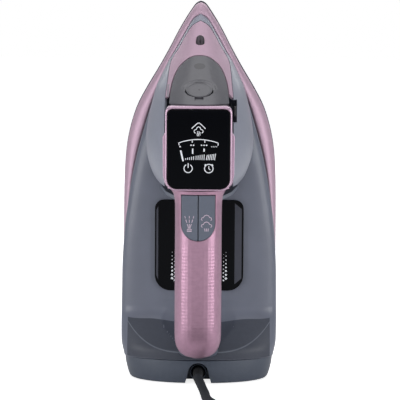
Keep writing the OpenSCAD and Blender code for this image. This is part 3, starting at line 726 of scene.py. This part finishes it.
def bowl_w(x, z):
    """Height of the scooped deck behind the handle, rising to the heel."""
    rim = 21 + 27 * (min(1, abs(x) / 57)) ** 2.3
    return 49.5 + 30 * (1 - smoothstep(rim - 3, rim + 33, z)) ** 1.3


def tank_w(x, z):
    """Height of the tank's outer face at x and z."""
    top = at(TANK_TOP, z)
    side = min(1, abs(x) / at(TANK_HALF, z)) ** (1 / tank_power(z))
    return (24.3 + top) / 2 + (top - 24.3) / 2 * math.sqrt(max(0, 1 - side * side)) ** tank_power(z)


def make_tank():
    rows = []
    levels = [246, 244.5, 242] + [240 - 2 * i for i in range(91)] + [59 - 0.8 * i for i in range(51)] + [18.5]
    for z in levels:
        half, top = at(TANK_HALF, z), at(TANK_TOP, z)
        row = section(z, half, 24.3, top, tank_power(z), 0.62, 180)
        if z < 60:
            row = [(x, max(y, y_of(bowl_w(x, z))) if y < y_of(45) else y, z) for x, y, z in row]
        rows.append(row)
    tank = rows_mesh("tank_shell", rows, LOOKS["tank_grey"], around=True, caps=True)
    place(smooth(tank), "body", "tank_grey", "water_tank")
    # Two sheets on the tank paint its light: a dark one is painted shade in the scoop, a thin lighter one is a
    # painted highlight along the rim.
    for name, low, high, look in (("bowl_shade", 1, None, BOWL_SHADE), ("bowl_rim_highlight", 0.6, 1.6, RIM_HIGHLIGHT)):
        rows = []
        for i in range(81):
            x = lerp(-55, 55, i / 80)
            rim = 23 + 23 * (abs(x) / 57) ** 3.6
            wave = 44.5 + 3 * (x / 51) ** 2 - 0.9 * math.sin(abs(x) / 7)
            end = rim + high if high else max(rim + low + 0.2, wave)
            zs = [lerp(rim + low if high else 18.8, end, k / 20) for k in range(21)]
            rows.append([(x, y_of(min(bowl_w(x, z), tank_w(x, z)) + (0.2 if high else 0.1)), z) for z in zs])
        place(smooth(rows_mesh(name, rows, look, toward=(0, -1, 0))), "body", "tank_grey")


def heel_ring(z, side, inset):
    return section(z, 58 - side, 6 + inset, 78 - inset, 0.92, 0.6, 120)


def make_heel():
    rows = [heel_ring(*level) for level in ((18, 1, 0.9), (17.7, 0.65, 0.6), (15, 0.9, 0.4), (12, 1.25, 0.3),
                                            (9, 1.9, 0.35), (6, 2.65, 0.45), (2.4, 3.85, 0.95), (1.2, 4.5, 1.3),
                                            (0.6, 5.2, 1.9))]
    heel = rows_mesh("heel_band", rows, LOOKS["heel_grey"], around=True, caps=True)
    mouth = rod("mouth", (0, y_of(60), GLAND_Z), (0, y_of(84), GLAND_Z), 7.9, n=64)
    notch = prism("notch", [(-10.4, -1), (10.4, -1), (7.9, GLAND_Z), (-7.9, GLAND_Z)], 60, 84)
    cut(heel, mouth, notch)
    place(soften(heel, 0.35), "body", "heel_grey", "heel_cover")
    y0, y1 = y_of(65), y_of(72.5)
    profile = [(0, 6.5), (6.6, 6.5), (7.2, 6.3), (7.5, 5.95), (7.2, 5.6), (6.6, 5.45), (0.6, 5.4), (0, 6.4)]
    ring = lathe_ring("gland_ring", (0, y0, GLAND_Z), (0, y1 - y0, 0), profile, LOOKS["heel_grey"])
    place(ring, "body", "heel_grey", "cord_gland")
    ball = lathe("swivel_ball", (0, y_of(65.2), GLAND_Z), (0, -1, 0),
                 [(0, 1.5), (1, 3.2), (2.6, 4.6), (4.8, 4.95), (7, 4.5), (8, 4.05), (8.1, 3.9)],
                 LOOKS["black_plastic"], n=48)
    place(smooth(ball), "cord_swivel", "black_plastic", "cord_ball")
    profile = []
    for k in range(9):
        d, r = 2.5 + 2.2 * k, lerp(3.95, 3.65, k / 8)
        profile += [(d, r), (d + 1.5, r - 0.02), (d + 1.55, r - 0.22), (d + 2.15, r - 0.22)]
    guard = lathe("cord_sleeve", (0, y_of(BALL_W), GLAND_Z), (0, -1, 0),
                  [(0, 3.6)] + profile + [(22.4, 3.62), (23.9, 3.6)], LOOKS["rubber_black"], n=36)
    place(smooth(guard), "cord_swivel", "cord_textile", "cord_guard")


def lathe_ring(name, start, axis, profile, look, n=64):
    """A turned ring, its profile closed on itself."""
    obj = lathe(name, start, axis, profile, look, n)
    bm = bmesh.new()
    bm.from_mesh(obj.data)
    bmesh.ops.delete(bm, geom=[f for f in bm.faces if len(f.verts) > 4], context="FACES_ONLY")
    bm.verts.ensure_lookup_table()
    m = len(profile)
    for j in range(n):
        k = (j + 1) % n
        bm.faces.new([bm.verts[i] for i in ((m - 1) * n + j, (m - 1) * n + k, k, j)])
    bmesh.ops.recalc_face_normals(bm, faces=bm.faces)
    bm.to_mesh(obj.data)
    bm.free()
    return smooth(obj)


# ---------------------------------------------------------------- display and handle
HEAD_HALF, HEAD_LOW, HEAD_TOP = 24.3, 155.6, 217
FACE_W = 144.9
MARK_TALL = 0.07


def make_display():
    def outline(inset, w, r=5, r_low=8.5):
        flat = rounded_rect(HEAD_HALF - inset, HEAD_LOW + inset, HEAD_TOP - inset * 1.4,
                            max(1, r - inset * 0.7), max(1, r_low - inset * 0.7))
        return [(x, y_of(w), z) for x, z in flat]

    rows = [outline(*p) for p in ((0.6, 128.1), (0, 129), (0, 142.6), (0.1, 143.5), (0.4, 144.1),
                                  (0.85, 144.4), (1.3, 144.2), (1.5, 143.6), (1.5, 128.4), (0.6, 128.1))]
    bezel = smooth(rows_mesh("display_rim", rows, LOOKS["pink_bright"], around=True))
    place(bezel, "body", "pink_bright", "display_bezel")
    side = [(22, 155.8), (24.7, 160), (26, 166), (26.3, 194), (24, 198)]
    cheek = prism("display_cheeks", side + [(-x, z) for x, z in side[::-1]], 129, 131, LOOKS["pink_bright"])
    cut(cheek, box_tool(-23, 23, 128, 132, 157, 200))
    place(soften(cheek, 0.6, 3), "body", "pink_bright")
    glass = prism("display_face", rounded_rect(HEAD_HALF - 1.7, HEAD_LOW + 1.7, HEAD_TOP - 2.6, 3.9, 7.4),
                  142, FACE_W, LOOKS["display_black"])
    place(soften(glass, 0.5, 3), "body", "display_black", "display_glass")
    tray = prism("display_back", rounded_rect(HEAD_HALF - 0.6, HEAD_LOW, HEAD_TOP - 0.4, 5, 8.5), 123, 128,
                 LOOKS["black_plastic"])
    cut(tray, box_tool(-6.6, 6.6, 122, 129, 209, 218))
    place(soften(tray, 1.2, 3), "body", "black_plastic", "display_tray")
    place(make_icons(), "body", "display_black")


def ribbon(points, width, w=FACE_W, closed=False):
    """A flat printed line through points in x and z."""
    pts = list(points)
    n = len(pts)
    rows = [[], []]
    for i, (x, z) in enumerate(pts):
        a = pts[(i - 1) % n] if closed or i else pts[i]
        b = pts[(i + 1) % n] if closed or i < n - 1 else pts[i]
        dx, dz = b[0] - a[0], b[1] - a[1]
        s = width / 2 / max(1e-6, math.hypot(dx, dz))
        rows[0].append((x - dz * s, y_of(w), z + dx * s))
        rows[1].append((x + dz * s, y_of(w), z - dx * s))
    flat = rows_mesh("line", rows, ICON_WHITE, around=closed, toward=(0, -1, 0))
    return thicken_out(flat)


def thicken_out(obj):
    m = obj.modifiers.new("wall", "SOLIDIFY")
    m.thickness, m.offset = MARK_TALL * MM, 1
    return bake(obj)


def arc(cx, cz, r, a0, a1, n=24):
    return [(cx + r * math.cos(math.radians(lerp(a0, a1, i / n))),
             cz + r * math.sin(math.radians(lerp(a0, a1, i / n)))) for i in range(n + 1)]


def dot_mark(x, z, r, w=FACE_W, sides=14):
    turn = [2 * math.pi * j / sides for j in range(sides)]
    points = [(x + r * math.cos(a), y_of(w), z + r * math.sin(a)) for a in turn]
    flat = new_object("dot", points, [tuple(range(sides))], ICON_WHITE)
    return thicken_out(face_outwards(flat, (0, -1, 0)))


def make_icons():
    """Steam sign, temperature scale with its bars, power sign and clock, all generic."""
    marks = [
        ribbon([(-4.9, 200.9), (-4.5, 201.5), (-1.4, 204.4), (-0.6, 205), (0.6, 205), (1.4, 204.4),
                (4.5, 201.5), (4.9, 200.9)], 0.62),
        ribbon([(-2.2, 197.8), (-3.1, 198.3), (-3.3, 199.3), (-2.6, 200.2), (-1.7, 200.4), (-1.1, 201.8),
                (0, 202.4), (1.1, 201.8), (1.7, 200.4), (2.6, 200.2), (3.3, 199.3), (3.1, 198.3),
                (2.2, 197.8)], 0.55),
        ribbon([(-0.8, 195.6), (-1.1, 197), (-0.6, 198.2), (-0.9, 199.2)], 0.5),
        ribbon([(0.2, 195.6), (-0.1, 197), (0.5, 198.2), (0.2, 199.2)], 0.5),
        ribbon([(1.2, 196.2), (0.9, 197.3), (1.4, 198.4)], 0.42),
        ribbon([(-14, 188.9), (-14.2, 190.6)] + arc(0, 152.6, 40.6, 110.5, 69.5)
               + [(14.2, 190.6), (14, 188.9)], 0.6),
        ribbon([(-4.6, 193), (-4.5, 190.9)], 0.6),
        ribbon([(4.6, 193), (4.5, 190.9)], 0.6),
        ribbon([(-12.9, 185.2), (-11, 177.4)], 1.15),
        ribbon([(-4.2, 186.6), (-4.2, 182.8)], 1.0),
        ribbon([(4, 186.6), (4, 184.4)], 1.0),
        ribbon(arc(-7.4, 172.2, 3, 62, -242), 0.62),
        ribbon([(-7.4, 176), (-7.4, 172.6)], 0.62),
        ribbon(arc(7.5, 172.2, 3.1, 0, 360)[:-1], 0.62, closed=True),
        ribbon([(7.5, 174), (7.5, 172.2), (8.6, 171.2)], 0.55),
        ribbon([(9.5, 175.3), (10.5, 174.3)], 0.9),
        ribbon([(4.5, 174.4), (5.3, 175.3)], 0.7),
    ]
    levels = ((-13.3, 188), (-5.4, 189), (-3.6, 189), (2.2, 189), (4, 189), (5.8, 189))
    marks += [dot_mark(x, z, 0.55) for x, z in levels]
    marks += [ribbon([(x, 187.6), (x + 0.5, 188.4)], 0.4) for x in (9.2, 10.4, 11.6, 12.8)]
    groups = ((-9.3, 1.45, 5, 1.2, 2.6, 0.1), (-1.8, 1.45, 5, 3, 3.9, 0.12), (5.6, 1.2, 6, 3.6, 4.6, 0.75))
    for x0, gap, count, low, high, lean in groups:
        for k in range(count):
            foot, tall = x0 + gap * k, lerp(low, high, k / (count - 1))
            marks.append(ribbon([(foot, 178.4), (foot + lean, 178.4 + tall)], 0.5))
    return merge("display_marks", marks)


def key_outline(side, gap, low=119, high=152.4, half=12.3):
    r, n = half - gap - 0.4, 16
    pts = [(side * 0.3, high - gap), (side * 0.3, low + gap)]
    pts += [(side * (0.3 + r * math.sin(math.pi / 2 * i / n)),
             low + gap + r * (1 - math.cos(math.pi / 2 * i / n)))
            for i in range(1, n + 1)]
    return pts + [(side * (half - gap), high - gap)]


def spray_mark(x, z, w):
    """Rays fanning up from a small nozzle."""
    lines = [ribbon([(x + 0.5 * k, z + 2.2), (x + 1.5 * k, z + 5.2)], 0.5, w) for k in (-1, 0, 1)]
    lines += [ribbon([(x + 1.8 * k, z + 6.2), (x + 2.5 * k, z + 8.4)], 0.5, w) for k in (-1, 0, 1)]
    lines += [ribbon([(x + 2.8 * k, z + 9.3), (x + 3.3 * k, z + 11)], 0.45, w) for k in (-1, 0, 1)]
    lines.append(ribbon([(x - 1.6, z + 0.9), (x - 1, z + 1.5), (x + 1, z + 1.5), (x + 1.6, z + 0.9)], 0.6, w))
    lines.append(ribbon([(x - 1.7, z), (x + 1.7, z)], 0.8, w))
    return lines


def cloud_mark(x, z, w):
    """A small puff of steam."""
    shape = [(-3.1, 0), (-3.8, 1), (-3.2, 2.1), (-2.2, 2.2), (-1.6, 3.4), (0, 4), (1.6, 3.4), (2.2, 2.2),
             (3.2, 2.1), (3.8, 1), (3.1, 0)]
    return ribbon([(x + a, z + b) for a, b in shape], 0.5, w)


def make_keys():
    for side, name, node in ((-1, "spray", "spray_key"), (1, "steam", "steam_key")):
        key = prism(name + "_button", key_outline(side, 0.15), 138, 143.3, LOOKS["key_grey"])
        place(soften(key, 0.55, 3), node, "key_grey", node)
        if side < 0:
            marks = spray_mark(-6.4, 126.4, 143.3)
        else:
            marks = [cloud_mark(6.1, 134.2, 143.3), cloud_mark(6.1, 129.2, 143.3)]
            marks += [ribbon([(6.1 + 1.1 * k, 126.3), (6.1 + 1.3 * k, 128.4)], 0.5, 143.3)
                      for k in (-1, 0, 1)]
        signs = merge(name + "_sign", marks)
        signs.data.materials[0] = ICON_PINK
        place(signs, node, "key_grey")


def scale_texture(x, z):
    """Woven diamonds of the grip, from 0 in the grooves to 1 on the crowns."""
    u, v = x / 2.6, z / 2.4
    cell = math.cos(math.pi * (u + v)) * math.cos(math.pi * (u - v))
    return smoothstep(-0.9, 0.9, cell)


def grip_row(z, upper, n=112):
    half = GRIP_WIDTH * at(GRIP_HALF, z)
    rise = at(GRIP_TOP, z) if upper else GRIP_DROP * min(1, at(GRIP_TOP, z) / 20)
    row = []
    for i in range(n + 1):
        a = math.pi * i / n
        c, s = signed_pow(math.cos(a), 0.72), abs(math.sin(a)) ** 0.72
        fade = smoothstep(0.35, 0.7, s) * smoothstep(38, 52, z) * (1 - smoothstep(112, 122, z))
        sink = 0.1 * (1 - scale_texture(half * math.cos(a), z)) * fade if upper else 0
        lift = (1 if upper else -1) * ((rise - sink) * s + 0.1)
        row.append((half * c * (1 - sink / half), y_of(GRIP_MID + lift), z))
    return row


def grip_levels(step):
    levels = [155.1, 154, 153]
    while levels[-1] > 34:
        levels.append(levels[-1] - step)
    return levels + [33, 32.2, 31.5, 30.9, 30.4, 30, 29.7]


def make_handle():
    top = rows_mesh("grip_top", [grip_row(z, True) for z in grip_levels(0.4)], LOOKS["pink_grip"],
                    toward=(0, -1, 0))
    thicken(top, 2)
    pocket = [(12.6, 152.7), (-12.6, 152.7)]
    pocket += [(-12.6 * math.cos(math.pi * i / 32), 131.3 - 12.6 * math.sin(math.pi * i / 32))
               for i in range(33)]
    cut(top, prism("pocket", pocket, 132, 146))
    smooth(top)
    place(soften(top, 0.25, 2, 50), "body", "pink_grip", "handle_top")
    low = rows_mesh("grip_base", [grip_row(z, False, 48) for z in grip_levels(2)], LOOKS["key_grey"],
                    toward=(0, 1, 0))
    thicken(low, 2)
    posts = [(77, 20.5, 33, 15), (82, 21.5, 36, 14), (88, 23.5, 41, 13.5), (96, 27, 50, 13.5),
             (102, 31, 58, 13.5),
             (105, 33, 60, 13)]
    rows = []
    for w, z0, z1, half in posts:
        turn = [2 * math.pi * i / 60 for i in range(60)]
        rows.append([(half * signed_pow(math.cos(a), 0.7), y_of(w),
                      (z0 + z1) / 2 + (z1 - z0) / 2 * signed_pow(math.sin(a), 0.7)) for a in turn])
    rear = rows_mesh("rear", rows, LOOKS["key_grey"], around=True, caps=True)
    corners = ((-1, 148.4), (-1, 151), (1, 151), (1, 148.4))
    rows = [[(half * sx, y_of(w), z - (w - 52.8) * 0.02) for sx, z in corners]
            for w, half in ((52.8, 30), (64, 28.5), (80, 26.5), (96, 24.5), (112, 20), (122.4, 17))]
    front = rows_mesh("front", rows, LOOKS["key_grey"], around=True, caps=True)
    place(soften(merge("handle_underside", [low, rear, front]), 0.4, 2, 50), "body", "key_grey",
          "handle_base")


def make_deck():
    panel = prism("deck_window", rounded_rect(34.2, 68.4, 139, 7, 12), 50.3, 51.5, LOOKS["display_black"])
    place(soften(panel, 0.4, 3), "body", "display_black", "deck_panel")
    # Grey bands of painted reflection on the sides of the black window.
    reflection_bands = [prism("band", [(x0, 73.5), (x1, 78), (x1, 132), (x0, 136.4)], 51.42, 51.54, PANEL_REFLECTION)
             for x0, x1 in ((27.4, 32.8),)]
    reflection_bands.append(prism("band", [(-33, 80), (-31.6, 77), (-31.6, 134), (-33, 131)], 51.42, 51.54, PANEL_REFLECTION))
    place(merge("deck_reflection_bands", reflection_bands), "body", "display_black")
    dots = []
    for side in (-1, 1):
        for k in range(8):
            z, r = 98.2 - 2.9 * k, 0.3 + 0.12 * k
            dots.append(dot_mark(side * 20.8, z, r, 51.5, sides=4))
            dots.append(dot_mark(side * 18.9, z - 1.45, r * 0.7, 51.5, sides=4))
    place(merge("deck_dots", dots), "body", "display_black")


def make_lever():
    lever = box_tool(25.2, 27.2, 102, 115.4, 208, 215)
    lever.data.materials[0] = LOOKS["black_plastic"]
    lever.name = "lever_knob"
    place(soften(lever, 0.5, 3), "steam_lever", "black_plastic", "steam_lever")


def dress_inner_parts():
    """Every CAD node that still shows takes its record slot's finish."""
    for part in frame["record"]["subparts"]:
        node = frame["nodes"][part["node"]]
        node.data.materials.clear()
        node.data.materials.append(LOOKS[part["material_slot"]])


make_soleplate()
make_skirt()
make_shoulders()
make_nose()
make_cover()
make_cap()
make_tank()
make_heel()
make_display()
make_keys()
make_handle()
make_deck()
make_lever()
dress_inner_parts()
